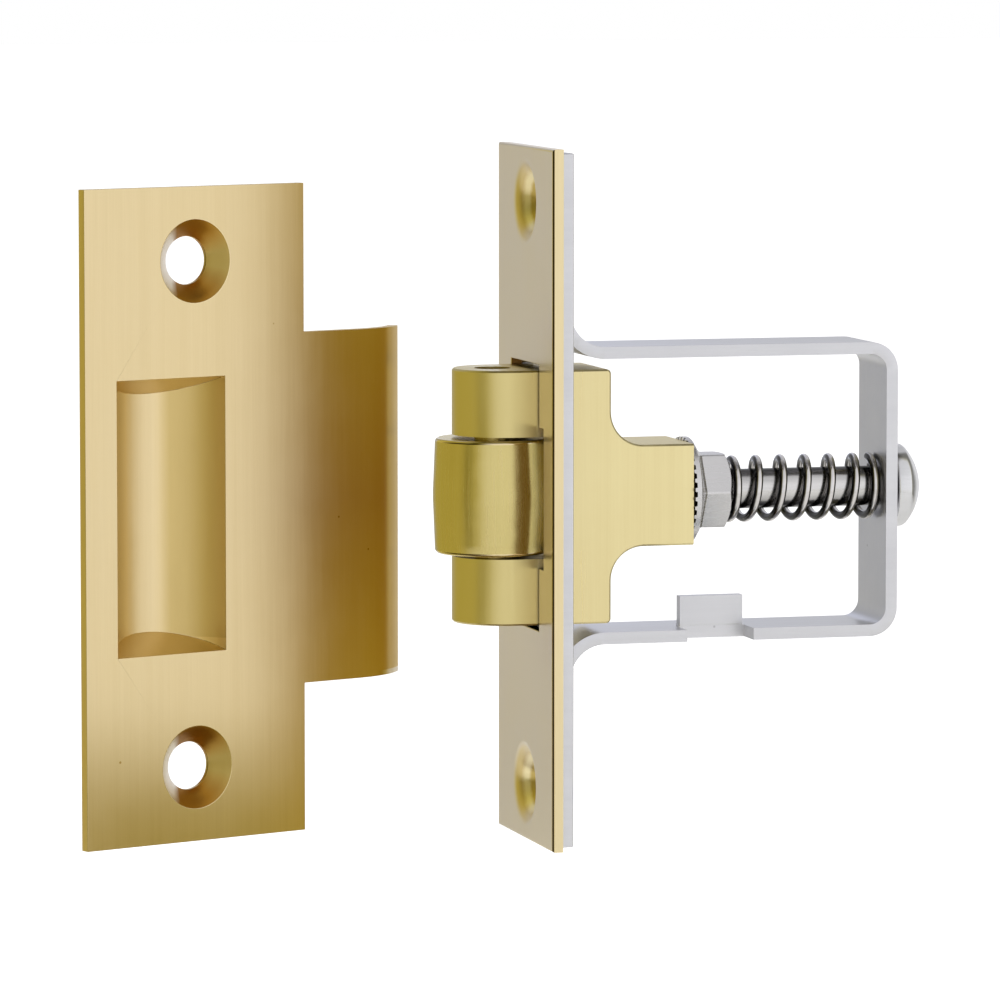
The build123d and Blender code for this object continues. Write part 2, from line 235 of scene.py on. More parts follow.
def painted_light_strike(bent_reflection, light, left_highlight, right, top):
    """Paints light and shade on the strike: a deeper painted reflection on its lip and pocket where they turn
    from the flat, painted shade on the pocket's rising floor and near wall, and painted highlight and shade
    on its screw seats by the side that a wall of the cone is on.
    """
    def tint(g, colour):
        normal = g.geometry("Normal")
        facing, spot = g.split(normal), g.split(g.coords)
        aligned = g.against("DOT_PRODUCT", normal, STRIKE_FLAT)["Value"]
        formed = g.against("DOT_PRODUCT", g.geometry("True Normal"), STRIKE_FLAT)["Value"]
        off_flat = g.remap(formed, 0.9999, 0.999)
        # painted reflection: the lip and pocket take a deeper tone where they turn from the flat
        colour = g.mix(g.product(off_flat, g.remap(aligned, 0.995, 0.92)), colour, bent_reflection)

        body = g.remap(spot["X"], STRIKE_BODY_X, STRIKE_BODY_X + 0.2 * MM)
        in_pocket = g.product(g.remap(g.size_of(spot["Z"]), POCKET_Z, POCKET_Z - STEP), body)
        in_pocket = g.product(in_pocket, off_flat)
        upright = g.size_of(facing["Z"])
        # painted shade on the pocket's floor where it rises, and on its wall near the lip
        rising_shade = g.product(g.remap(facing["X"], 0.16, -0.02, 0.0, 0.42), g.remap(upright, 0.5, 0.3))
        colour = g.mix(g.product(in_pocket, rising_shade), colour, right)
        near_wall_shade = g.product(g.remap(facing["X"], 0.7, 0.85, 0.0, 0.5),
                              g.remap(spot["X"], POCKET_X + 0.2 * MM, POCKET_X))
        colour = g.mix(g.product(in_pocket, near_wall_shade), colour, right)

        # painted light on the screw seats: each wall of the cone takes painted shade, deeper painted shade or
        # a painted highlight, by the way it faces
        seat_light_and_shade = g.mix(g.remap(upright, 0.15, 0.6), right, top)
        seat_light_and_shade = g.mix(g.remap(facing["X"], 0.58, 0.72), seat_light_and_shade, left_highlight)
        seat_light_and_shade = g.mix(g.remap(upright, 0.8, 0.9), seat_light_and_shade, light)
        in_seat = g.product(g.remap(g.size_of(spot["Z"]), SEAT_Z - STEP, SEAT_Z),
                            g.remap(aligned, 0.97, 0.93))
        return g.mix(g.product(in_seat, body), colour, seat_light_and_shade)
    return tint


def brushed(name, dark, light, rough, along, grain, depth, spread=0.8, coat=0.0, specks=None, tints=()):
    """Metal with fine brush lines along one axis, soft cloudiness and a few specks.

    Each of tints paints light and shade: it takes the graph and the colour so far, and gives the colour with
    its own laid over."""
    g = Graph(name)
    lines = g.lines(grain, 3.0, 0.6, along, 0.018)
    coarse = g.lines(grain * 0.22, 2.0, 0.5, along, 0.018)
    clouds = g.noise(90.0, 3.0, 0.55)
    tone = g.sum(g.swing(lines, -0.16, 0.16), g.swing(coarse, -0.14, 0.14), g.swing(clouds, 0.3, 0.7))
    colour = g.mix(tone, dark, light)
    if specks:
        colour = g.mix(g.specks(260.0, 0.028, 0.72), colour, specks)
    for tint in tints:
        colour = tint(g, colour)
    g.bump(lines, depth)
    g.across(along)
    g.set(Anisotropic=spread, Coat_Weight=coat, Coat_Roughness=0.28)
    return g.finish(colour, g.sum(g.swing(lines, -0.03, 0.03), g.swing(clouds, rough - 0.02, rough + 0.02)))


def edge_metal(name, colour, rough=0.1):
    """Smooth worn metal for the narrow edges, with painted shade where it turns the upright corner."""
    g = Graph(name)
    wear = g.noise(700.0, 3.0, 0.6)
    tone = g.mix(wear, tuple(0.9 * c for c in colour), colour)
    turn = g.split(g.geometry("Normal"))
    corner_shade = g.remap(g.product(turn["X"], turn["Y"]), 0.2, 0.4)
    # painted shade where the edge turns the upright corner
    tone = g.mix(corner_shade, tone, tuple(0.12 * c * c for c in colour))
    g.bump(wear, 0.0006 * MM)
    return g.finish(tone, g.swing(wear, rough - 0.03, rough + 0.03))


def polished(name, light, dark, rough, painted_pale_from=None, coiled=False):
    """Dark polished steel with painted shade: nearly black where it turns away from the viewer or towards the
    next coil; past a given X it is painted a plain pale steel instead.
    """
    g = Graph(name)
    if coiled:
        facing = g.remap(g.size_of(g.split(g.geometry("Normal"))["X"]), 0.24, 0.62, 0.0, 0.5)
    else:
        facing = g.add("ShaderNodeLayerWeight").outputs["Facing"]
    lines = g.lines(2400.0, 3.0, 0.6, "X", 0.05)
    clouds = g.noise(160.0, 3.0, 0.55)
    shade_and_grain = g.sum(g.remap(facing, 0.06, 0.5), g.swing(lines, -0.06, 0.06), g.swing(clouds, -0.08, 0.08))
    colour = g.mix(shade_and_grain, light, dark)
    if painted_pale_from is not None:
        there = g.remap(g.split(g.coords)["X"], painted_pale_from, painted_pale_from + STEP)
        pale = g.mix(g.sum(clouds, g.swing(lines, -0.2, 0.2)), (0.60, 0.60, 0.62), (0.68, 0.68, 0.70))
        colour = g.mix(there, colour, pale)
    g.bump(lines, 0.0008 * MM)
    return g.finish(colour, g.swing(clouds, rough - 0.03, rough + 0.03))


DISH_Z = 32.0 * MM
# Painted light in the dishes, from outside in: gold, a painted highlight ring, then painted shade deepening
# towards the hole
DISH_LIGHT_RINGS = ((4.5 * MM, 4.0 * MM, (0.72, 0.56, 0.25)), (3.4 * MM, 3.0 * MM, (0.98, 0.86, 0.54)),
              (2.7 * MM, 2.4 * MM, (0.62, 0.46, 0.13)), (2.2 * MM, 1.9 * MM, (0.52, 0.35, 0.08)))
BRASS_SPECK = (0.50, 0.33, 0.10)
STEEL_SPECK = (0.42, 0.42, 0.44)

# Strike: painted reflection, shade and highlight on its lip, pocket and screw seats
brass_plate = brushed(
    "brass_brushed_strike", (0.74, 0.595, 0.335), (0.83, 0.685, 0.42), 0.36, "Z", 5200.0, 0.0015 * MM,
    0.8, 0.1, BRASS_SPECK,
    (painted_light_strike(bent_reflection=(0.77, 0.59, 0.27), light=(0.83, 0.685, 0.42), left_highlight=(0.98, 0.93, 0.88),
                 right=(0.45, 0.33, 0.10), top=(0.40, 0.19, 0.02)),))
# Faceplate: a pale painted reflection on its front, painted highlight and shade rings in its dishes, painted
# shade on the window's side walls
brass_face = brushed(
    "brass_brushed_faceplate", (0.74, 0.61, 0.34), (0.83, 0.70, 0.42), 0.34, "Z", 5200.0, 0.0015 * MM,
    0.8, 1.0, BRASS_SPECK,
    (painted_reflection_ahead(FRONT_X + 0.2 * MM, (0.80, 0.69, 0.53)),
     painted_light_dishes(DISH_Z, DISH_LIGHT_RINGS), painted_shade_walls(8.2 * MM, (0.26, 0.12, 0.01))))
# Carrier: painted shade deepens its nose in front of the faceplate
brass_bolt = brushed(
    "brass_brushed_bolt", (0.71, 0.60, 0.31), (0.79, 0.69, 0.38), 0.31, "Z", 3600.0, 0.0022 * MM,
    0.7, 0.0, (0.62, 0.48, 0.20), (painted_reflection_ahead(FRONT_X, (0.66, 0.555, 0.245)),))
brass_roll = brushed(
    "brass_turned_roller", (0.60, 0.50, 0.20), (0.69, 0.58, 0.26), 0.26, "Z", 2600.0, 0.003 * MM, 0.65)
steel_zinc = brushed(
    "steel_zinc_plated", (0.57, 0.57, 0.60), (0.66, 0.66, 0.69), 0.32, "X", 1500.0, 0.0012 * MM,
    0.2, 0.0, STEEL_SPECK)
steel_nut = brushed(
    "steel_zinc_nut", (0.55, 0.54, 0.55), (0.65, 0.64, 0.65), 0.26, "X", 1800.0, 0.0005 * MM,
    0.2, 0.0, STEEL_SPECK)
# painted shade on the spring's wire towards the next coil; on the screw, painted shade on the shank and a
# head painted pale
steel_spring = polished("steel_spring_wire", (0.64, 0.62, 0.62), (0.03, 0.029, 0.031), 0.15, coiled=True)
steel_screw = polished("steel_polished_screw", (0.62, 0.61, 0.61), (0.03, 0.028, 0.03), 0.16, STRAP_REAR_X)
brass_edge = edge_metal("brass_edge_wear_and_shade", (0.84, 0.70, 0.42))
steel_edge = edge_metal("steel_edge_wear_and_shade", (0.66, 0.66, 0.69))
# near-black painted shade for the nut's serrations
serration_painted_shade = edge_metal("steel_serration_shade", (0.06, 0.05, 0.04), 0.4)


def weighted_normals(obj, keep_sharp):
    smooth = obj.modifiers.new("normals", "WEIGHTED_NORMAL")
    smooth.mode = "FACE_AREA"
    smooth.weight = 50
    smooth.keep_sharp = keep_sharp


def soften(obj, width):
    """Small worn edges on a CAD mesh, in its second material with its painted shade at upright corners, with
    clean shading on its flats.
    """
    weld = obj.modifiers.new("weld", "WELD")
    weld.merge_threshold = 0.002 * MM
    bevel = obj.modifiers.new("edges", "BEVEL")
    bevel.limit_method = "ANGLE"
    bevel.angle_limit = math.radians(30)
    bevel.width = width
    bevel.segments = 2
    bevel.miter_outer = "MITER_ARC"
    bevel.harden_normals = False
    bevel.use_clamp_overlap = True
    bevel.material = 1
    weighted_normals(obj, False)


# CAD pieces: main material, edge material, and the edge's width where the CAD mesh is the one shown
for name, mat, edge_mat, width in (
        ("faceplate", brass_face, brass_edge, None), ("strike_plate", brass_plate, brass_edge, 0.1),
        ("roller_carrier", brass_bolt, brass_edge, 0.03), ("roller", brass_roll, brass_edge, 0.1),
        ("roller_axle", brass_roll, brass_edge, 0.08), ("back_plate", steel_zinc, steel_edge, 0.15),
        ("strap", steel_zinc, steel_edge, 0.17), ("lock_nut", steel_zinc, steel_edge, None),
        ("adjusting_screw", steel_screw, brass_edge, None),
        ("compression_spring", steel_spring, brass_edge, None)):
    slots = nodes[name].data.materials
    slots.clear()
    slots.append(mat)
    slots.append(edge_mat)
    if width is not None:
        soften(nodes[name], width * MM)


# Mesh helpers

def new_object(name, data):
    obj = bpy.data.objects.new(name, data)
    bpy.context.scene.collection.objects.link(obj)
    return obj


def new_mesh(name, bm):
    mesh = bpy.data.meshes.new(name)
    bm.to_mesh(mesh)
    bm.free()
    return mesh


def mark_sharp(bm, angle):
    for edge in bm.edges:
        edge.smooth = not (len(edge.link_faces) == 2 and edge.calc_face_angle(0) > math.radians(angle))


def piece(name, bm, mat, body, replaced, angle):
    """Turns a bmesh in metres into a finished piece that rides on a body."""
    bmesh.ops.remove_doubles(bm, verts=bm.verts, dist=0.0005 * MM)
    bmesh.ops.recalc_face_normals(bm, faces=bm.faces)
    for face in bm.faces:
        face.smooth = True
    mark_sharp(bm, angle)
    obj = new_object(name, new_mesh(name, bm))
    obj.data.materials.append(mat)
    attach(obj, body)
    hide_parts(replaced)
    return obj


def skin(bm, rings):
    """Quads between closed rings of points that have the same count."""
    made = [[bm.verts.new(p) for p in ring] for ring in rings]
    for low, high in zip(made, made[1:]):
        for i in range(len(low)):
            j = (i + 1) % len(low)
            bm.faces.new((low[i], low[j], high[j], high[i]))
    return made


def lathe_x(bm, profile, count, cap=False):
    """Skin turned about X from (x, radius) points; either may be a function of the angle."""
    def at_angle(value, a):
        return value(a) if callable(value) else value

    turns = [2 * math.pi * i / count for i in range(count)]
    made = skin(bm, [[(at_angle(x, a), at_angle(r, a) * math.cos(a), at_angle(r, a) * math.sin(a))
                      for a in turns] for x, r in profile])
    if cap:
        bm.faces.new(made[0])
        bm.faces.new(made[-1])


def arc_points(cx, cr, radius, a0, a1, steps):
    """Points (x, r) on an arc in degrees, x = cx + radius cos, r = cr + radius sin."""
    angles = [math.radians(a0 + (a1 - a0) * i / steps) for i in range(steps + 1)]
    return [(cx + radius * math.cos(a), cr + radius * math.sin(a)) for a in angles]


# Return spring: round wire, half a turn closed at either end
WIRE_R = 0.46 * MM
COIL_R = 3.25 * MM
ACTIVE = 5.5
CLOSED = 0.5
CLOSED_RISE = 0.45 * MM
SPRING_GAP = 0.05 * MM


def coil_x(turn, x0, x1):
    """Place of the wire's middle along X after some turns."""
    rise = (x1 - x0 - 2 * CLOSED_RISE) / ACTIVE
    if turn <= CLOSED:
        return x0 + CLOSED_RISE * turn / CLOSED
    if turn <= CLOSED + ACTIVE:
        return x0 + CLOSED_RISE + rise * (turn - CLOSED)
    return x1 - CLOSED_RISE * (2 * CLOSED + ACTIVE - turn) / CLOSED


def spring_piece():
    bm = bmesh.new()
    x0 = nut_hi[0] + SPRING_GAP + WIRE_R
    x1 = STRAP_REAR_X - STRAP_THICK - SPRING_GAP - WIRE_R
    turns = ACTIVE + 2 * CLOSED
    steps = int(turns * 56)
    sides = 16

    def centre(turn):
        turn = min(max(turn, 0.0), turns)
        nearby = [min(max(turn + d, 0.0), turns) for d in (-0.06, -0.03, 0, 0.03, 0.06)]
        soft = sum(coil_x(t, x0, x1) for t in nearby) / len(nearby)
        a = 2 * math.pi * turn
        return Vector((soft, -COIL_R * math.sin(a), -COIL_R * math.cos(a)))

    rings = []
    for i in range(steps + 1):
        turn = turns * i / steps
        here = centre(turn)
        ahead = (centre(turn + 0.002) - centre(turn - 0.002)).normalized()
        side = ahead.cross(Vector((0, here.y, here.z)).normalized()).normalized()
        out = side.cross(ahead).normalized()
        round_wire = [2 * math.pi * k / sides for k in range(sides)]
        rings.append([tuple(here + WIRE_R * (math.cos(b) * out + math.sin(b) * side)) for b in round_wire])
    made = skin(bm, rings)
    bm.faces.new(made[0])
    bm.faces.new(made[-1])
    obj = piece("spring_wire", bm, steel_spring, "frame", "compression_spring", 50.0)
    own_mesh(obj)


# Serrated flange nut
TEETH = 36
TOOTH = 0.24 * MM
NUT_HALF_FLATS = 4.0 * MM
NUT_CORNER_R = 4.56 * MM
NUT_CHAMFER_R = 3.7 * MM
THREAD_R = 2.5 * MM


def nut_piece():
    bm = bmesh.new()
    x0, x1 = nut_lo[0], nut_hi[0]
    r_flange = nut_hi[2]

    def hexagon(a):
        turn = (a % (math.pi / 3)) - math.pi / 6
        return min(NUT_HALF_FLATS / math.cos(turn), NUT_CORNER_R)

    def wider(extra):
        return lambda a: hexagon(a) + extra

    def saw(a):
        share = (a / (2 * math.pi) * TEETH) % 1.0
        return x0 + TOOTH * min(1.0, max(0.0, (abs(share - 0.5) - 0.18) / 0.06))

    def saw_rim(a):
        return saw(a) + 0.1 * MM

    def shoulder(a):
        return x1 - (hexagon(a) - NUT_CHAMFER_R) * math.tan(math.radians(30))

    bore_back = x1 - 0.3 * MM
    profile = [(bore_back, THREAD_R), (x0 + 0.35 * MM, THREAD_R), (x0 + 0.05 * MM, THREAD_R + 0.3 * MM),
               (x0 + 0.05 * MM, 3.4 * MM), (saw, 3.6 * MM), (saw, r_flange - 0.12 * MM), (saw_rim, r_flange),
               (x0 + 0.85 * MM, r_flange), (x0 + 0.95 * MM, r_flange - 0.08 * MM),
               (x0 + 1.5 * MM, wider(0.42 * MM)), (x0 + 1.64 * MM, wider(0.14 * MM)),
               (x0 + 1.85 * MM, hexagon), (shoulder, hexagon), (x1, NUT_CHAMFER_R),
               (x1, THREAD_R + 0.3 * MM), (bore_back, THREAD_R)]
    lathe_x(bm, profile, TEETH * 20)
    bm.normal_update()
    # painted shade: the serration faces take the near-black material
    for face in bm.faces:
        if face.calc_center_median().x < x0 + TOOTH + 0.12 * MM and abs(face.normal.x) > 0.5:
            face.material_index = 1
    obj = piece("flange_nut", bm, steel_nut, "plunger", "lock_nut", 24.0)
    obj.data.materials.append(serration_painted_shade)


# Adjusting screw: rolled thread, plain shank, domed head with a slot
THREAD_END_X = 20.2 * MM
CREST_R = 2.45 * MM
ROOT_R = 2.08 * MM
SHANK_R = 2.2 * MM
PITCH = 0.8 * MM
HEAD_X = STRAP_REAR_X + 0.3 * MM
RIM_X = HEAD_X + 1.55 * MM
DOME_TOP_X = 43.0 * MM
SLOT_DEPTH = 1.3 * MM
SLOT_WIDTH = 1.2 * MM
UNDER_R = 0.35 * MM


def thread_radius(x, tip):
    """Radius of the thread at one X, as a function of the angle."""
    def radius(a):
        share = ((x - tip) / PITCH - a / (2 * math.pi)) % 1.0
        height = min(1.0, max(0.0, 1.6 - abs(share - 0.5) * 4.0))
        fade = min(1.0, (x - tip) / PITCH, max(0.0, (THREAD_END_X - x) / PITCH))
        return ROOT_R + (CREST_R - ROOT_R) * height * fade
    return radius


def cut_slot(head):
    """Cuts the drive slot across the head."""
    bm = bmesh.new()
    bmesh.ops.create_cube(bm, size=1.0)
    slot_floor = DOME_TOP_X - SLOT_DEPTH
    for v in bm.verts:
        v.co = Vector((slot_floor + (v.co.x + 0.5) * 4 * MM, v.co.y * SLOT_WIDTH, v.co.z * 20 * MM))
    cutter = new_object("slot_cutter", new_mesh("slot_cutter", bm))
    mod = head.modifiers.new("slot", "BOOLEAN")
    mod.operation = "DIFFERENCE"
    mod.object = cutter
    mod.solver = "EXACT"
    bpy.context.view_layer.update()
    done = bpy.data.meshes.new_from_object(head.evaluated_get(bpy.context.evaluated_depsgraph_get()))
    head.modifiers.clear()
    head.data = done
    bpy.data.objects.remove(cutter)
    bm = bmesh.new()
    bm.from_mesh(done)
    mark_sharp(bm, 25)
    bm.to_mesh(done)
    bm.free()
    done.materials.clear()
    done.materials.append(steel_screw)


def screw_piece():
    bm = bmesh.new()
    tip = screw_lo[0]
    start = tip + 0.4 * MM
    steps = int((THREAD_END_X - tip) / PITCH * 8)
    places = [start + (THREAD_END_X - start) * i / steps for i in range(steps + 1)]
    lathe_x(bm, [(tip, 1.7 * MM)] + [(x, thread_radius(x, tip)) for x in places]
            + [(THREAD_END_X, SHANK_R), (HEAD_X, SHANK_R)], 48, cap=True)
    piece("screw_shank", bm, steel_screw, "screw", "adjusting_screw", 40.0)

    bm = bmesh.new()
    r = screw_hi[2]
    rise = DOME_TOP_X - RIM_X
    ball = (r * r + rise * rise) / (2 * rise)
    dome = arc_points(DOME_TOP_X - ball, 0.0, ball, math.degrees(math.asin(r / ball)), 0.3, 22)
    # the CAD dome has facets, so its box ends a little short of the round dome's top
    dome = [(min(x, screw_hi[0]), min(q, r - 0.06 * MM)) for x, q in dome]
    under = arc_points(HEAD_X + UNDER_R, r - UNDER_R, UNDER_R, 180, 90, 5)
    lathe_x(bm, [(HEAD_X, 0.3 * MM), (HEAD_X, r - UNDER_R)] + under
            + [(RIM_X - 0.25 * MM, r), (RIM_X - 0.05 * MM, r - 0.03 * MM)] + dome, 96, cap=True)
    cut_slot(piece("screw_head", bm, steel_screw, "screw", "adjusting_screw", 40.0))


# Faceplate: pressed screw dishes that roll in from the flat, window with eased edges
FACE_THICK = 1.23 * MM
FACE_EASE = 0.32 * MM
WINDOW_EASE = 0.07 * MM
HOLE_R = 1.95 * MM
PATCH_R = 5.4 * MM      # flat ring that ends each dish
CONE_R = 4.0 * MM       # where the cone would meet the flat
ROLL_R = 2.3 * MM       # radius that rolls the flat into the cone
CONE_SLOPE = math.radians(42.8)


def plus_shape(grow):
    """Window outline, wider in its middle for the roller."""
    w, h = 5.85 * MM + grow, 14.55 * MM + grow
    wide, tall = 7.65 * MM + grow, 7.7 * MM + grow
    right = [(w, -h), (w, -tall), (wide, -tall), (wide, tall), (w, tall), (w, h)]
    return right + [(-y, -z) for y, z in right]


def rectangle(half_y, half_z):
    return [(-half_y, -half_z), (half_y, -half_z), (half_y, half_z), (-half_y, half_z)]


def circle(z, radius, count):
    angles = [2 * math.pi * i / count for i in range(count)]
    return [(radius * math.cos(a), z + radius * math.sin(a)) for a in angles]


def at_x(x, loop):
    return [(x, *p) for p in loop]


def inside(loop, y, z):
    """True where a point lies within a closed loop."""
    hit = False
    for (y0, z0), (y1, z1) in zip(loop, loop[1:] + loop[:1]):
        if (z0 > z) != (z1 > z) and y < y0 + (z - z0) / (z1 - z0) * (y1 - y0):
            hit = not hit
    return hit


def flat_region(bm, x, outline, holes):
    """Fills an outline around its holes at a given X."""
    points, edges = [], []
    for loop in [outline] + holes:
        first = len(points)
        points += [Vector(p) for p in loop]
        edges += [(first + i, first + (i + 1) % len(loop)) for i in range(len(loop))]
    verts, _, faces, _, _, _ = delaunay_2d_cdt(points, edges, [], 0, 0.0000001)
    made = [bm.verts.new((x, v[0], v[1])) for v in verts]
    for face in faces:
        y = sum(verts[i][0] for i in face) / len(face)
        z = sum(verts[i][1] for i in face) / len(face)
        if not any(inside(hole, y, z) for hole in holes):
            bm.faces.new([made[i] for i in face])


def faceplate_piece():
    bm = bmesh.new()
    front, back, deep = FRONT_X, FRONT_X + FACE_THICK, face_hi[0]
    half_y, half_z = face_hi[1], face_hi[2]
    count = 96
    reach = ROLL_R * math.tan(CONE_SLOPE / 2)
    rolled = arc_points(front + ROLL_R, CONE_R + reach, ROLL_R, 180, 180 + math.degrees(CONE_SLOPE), 16)
    mouth = [(front + 1.75 * MM, HOLE_R + 0.15 * MM), (front + 1.85 * MM, HOLE_R + 0.05 * MM),
             (front + 1.98 * MM, HOLE_R)]
    behind = [(deep - 0.05 * MM, HOLE_R), (deep, HOLE_R + 0.05 * MM), (deep, 2.85 * MM),
              (deep - 0.12 * MM, 3.02 * MM), (back + 0.1 * MM, 4.04 * MM), (back, 4.18 * MM), (back, PATCH_R)]
    for z in (-DISH_Z, DISH_Z):
        skin(bm, [at_x(x, circle(z, r, count)) for x, r in [(front, PATCH_R)] + rolled + mouth + behind])

    window = plus_shape(0)
    eased = plus_shape(WINDOW_EASE)
    holes = [circle(z, PATCH_R, count) for z in (-DISH_Z, DISH_Z)]
    flat_region(bm, front, rectangle(half_y - FACE_EASE, half_z - FACE_EASE), [eased] + holes)
    flat_region(bm, back, rectangle(half_y, half_z), [window] + holes)

    before = set(bm.faces)
    edge = []
    for i in range(5):
        a = math.radians(90 * i / 4)
        inset = FACE_EASE * (1 - math.sin(a))
        edge.append(at_x(front + FACE_EASE * (1 - math.cos(a)), rectangle(half_y - inset, half_z - inset)))
    skin(bm, edge)
    # the long sides of the eased border take the edge metal, with its painted shade at the upright corner
    for face in bm.faces:
        if face not in before and abs(face.calc_center_median().z) < half_z - FACE_EASE:
            face.material_index = 1
    skin(bm, [edge[-1], at_x(back, rectangle(half_y, half_z))])
    skin(bm, [at_x(front, eased), at_x(front + WINDOW_EASE, window), at_x(back, window)])
    obj = piece("faceplate_dished", bm, brass_face, "frame", "faceplate", 40.0)
    obj.data.materials.append(brass_edge)
    weighted_normals(obj, True)


spring_piece()
nut_piece()
screw_piece()
faceplate_piece()


# Camera, as fitted to the photograph
CAMERA_AZ = math.radians(15.033)
CAMERA_EL = math.radians(5.314)
cam_data = bpy.data.cameras.new("camera")
cam_data.lens = 239.5
cam_data.sensor_width = 36.0
cam_data.clip_start = 0.01
cam_data.clip_end = 20.0
cam = new_object("camera", cam_data)
cam.location = (-0.19079 + FRONT_X, -0.69988, 0.06679)
cam.rotation_mode = "QUATERNION"
cam.rotation_quaternion = Vector((math.sin(CAMERA_AZ) * math.cos(CAMERA_EL),
                                  math.cos(CAMERA_AZ) * math.cos(CAMERA_EL),
                                  -math.sin(CAMERA_EL))).to_track_quat("-Z", "Y")
bpy.context.scene.camera = cam


# Studio helpers

def math_node(tree, operation, *values):
    node = tree.nodes.new("ShaderNodeMath")
    node.operation = operation
    for socket, value in zip(node.inputs, values):
        if isinstance(value, float):
            socket.default_value = value
        else:
            tree.links.new(value, socket)
    return node.outputs[0]


def ramp(tree, fac, stops):
    """Colour ramp over a socket; gives its colour."""
    node = tree.nodes.new("ShaderNodeValToRGB")
    elements = node.color_ramp.elements
    while len(elements) > 1:
        elements.remove(elements[-1])
    for k, (pos, colour) in enumerate(stops):
        stop = elements[0] if k == 0 else elements.new(pos)
        stop.position = pos
        stop.color = (*colour, 1)
    tree.links.new(fac, node.inputs["Fac"])
    return node.outputs["Color"]


def light_tree(obj, name):
    """Gives a studio object a bare light-giving material: its tree, output and emission."""
    mat = bpy.data.materials.new(name)
    mat.use_nodes = True
    obj.data.materials.append(mat)
    tree = mat.node_tree
    tree.nodes.clear()
    return tree, tree.nodes.new("ShaderNodeOutputMaterial"), tree.nodes.new("ShaderNodeEmission")


def coordinate(tree, output):
    """Parts of one texture coordinate."""
    split = tree.nodes.new("ShaderNodeSeparateXYZ")
    tree.links.new(tree.nodes.new("ShaderNodeTexCoord").outputs[output], split.inputs[0])
    return split.outputs


# A white world, dimmer for diffuse light
world = bpy.data.worlds.new("white")
bpy.context.scene.world = world
world.use_nodes = True
world_tree = world.node_tree
background = world_tree.nodes["Background"]
background.inputs["Color"].default_value = (1, 1, 1, 1)
ray = world_tree.nodes.new("ShaderNodeLightPath").outputs
seen = math_node(world_tree, "MAXIMUM", ray["Is Camera Ray"], ray["Is Glossy Ray"])
seen = math_node(world_tree, "MAXIMUM", seen, ray["Is Transmission Ray"])
level = world_tree.nodes.new("ShaderNodeMapRange")
level.inputs["To Min"].default_value = 0.45
level.inputs["To Max"].default_value = 1.0
world_tree.links.new(seen, level.inputs["Value"])
world_tree.links.new(level.outputs["Result"], background.inputs["Strength"])

# A light dome that only the object and the floor see
DOME_R = 0.42
WARM = (1.0, 0.88, 0.18)
COOL = (0.97, 1.0, 1.14)
# (direction in degrees, brightness, tint, share): 0 faces the viewer's side, 90 is +X, -90 is -X
DOME = [(-180, 0.46, COOL, 0.3), (-165, 0.57, COOL, 0.3), (-148, 0.68, COOL, 0.2), (-134, 0.66, WARM, 0.8),
        (-110, 0.62, WARM, 1), (-92, 0.44, WARM, 1), (-86, 0.03, WARM, 1), (-64, 0.03, WARM, 1),
        (-58, 0.46, WARM, 1), (-46, 0.62, WARM, 0.9), (-30, 1.0, WARM, 0), (10, 1.04, WARM, 0),
        (40, 1.16, WARM, 0), (62, 1.18, WARM, 0), (70, 0.85, WARM, 0.3), (82, 0.32, WARM, 0.2),
        (112, 0.32, WARM, 0.1), (126, 0.95, WARM, 0), (150, 0.80, COOL, 0.2), (160, 0.76, COOL, 0.4),
        (166, 0.92, COOL, 1), (173, 0.92, COOL, 1), (180, 0.46, COOL, 0.3)]
# (height as a share of the dome's, colour)
DOME_RISE = [(0.0, (0.5, 0.5, 0.5)), (0.34, (0.7, 0.66, 0.5)), (0.42, (1, 1, 1)), (0.66, (1, 1, 1)),
             (0.8, (0.85, 0.85, 0.85)), (0.955, (0.78, 0.78, 0.78)), (0.972, (0.24, 0.23, 0.23)),
             (1.0, (0.18, 0.17, 0.17))]


def light_dome():
    bm = bmesh.new()
    bmesh.ops.create_uvsphere(bm, u_segments=96, v_segments=48, radius=DOME_R)
    obj = new_object("light_dome", new_mesh("light_dome", bm))
    tree, out, emit = light_tree(obj, "dome_light")
    tree.links.new(emit.outputs[0], out.inputs[0])
    place = coordinate(tree, "Object")
    angle = math_node(tree, "ARCTAN2", place["X"], math_node(tree, "MULTIPLY", place["Y"], -1.0))
    turn = math_node(tree, "MULTIPLY_ADD", angle, 0.5 / math.pi, 0.5)
    stops = [((deg + 180) / 360, [v * (1 - share * (1 - c)) for c in tint]) for deg, v, tint, share in DOME]
    height = math_node(tree, "MULTIPLY_ADD", place["Z"], 0.5 / DOME_R, 0.5)
    both = tree.nodes.new("ShaderNodeMix")
    both.data_type = "RGBA"
    both.blend_type = "MULTIPLY"
    both.inputs["Factor"].default_value = 1.0
    tree.links.new(ramp(tree, turn, stops), both.inputs[6])
    tree.links.new(ramp(tree, height, DOME_RISE), both.inputs[7])
    tree.links.new(both.outputs[2], emit.inputs["Color"])
    obj.visible_camera = False
    obj.visible_shadow = False


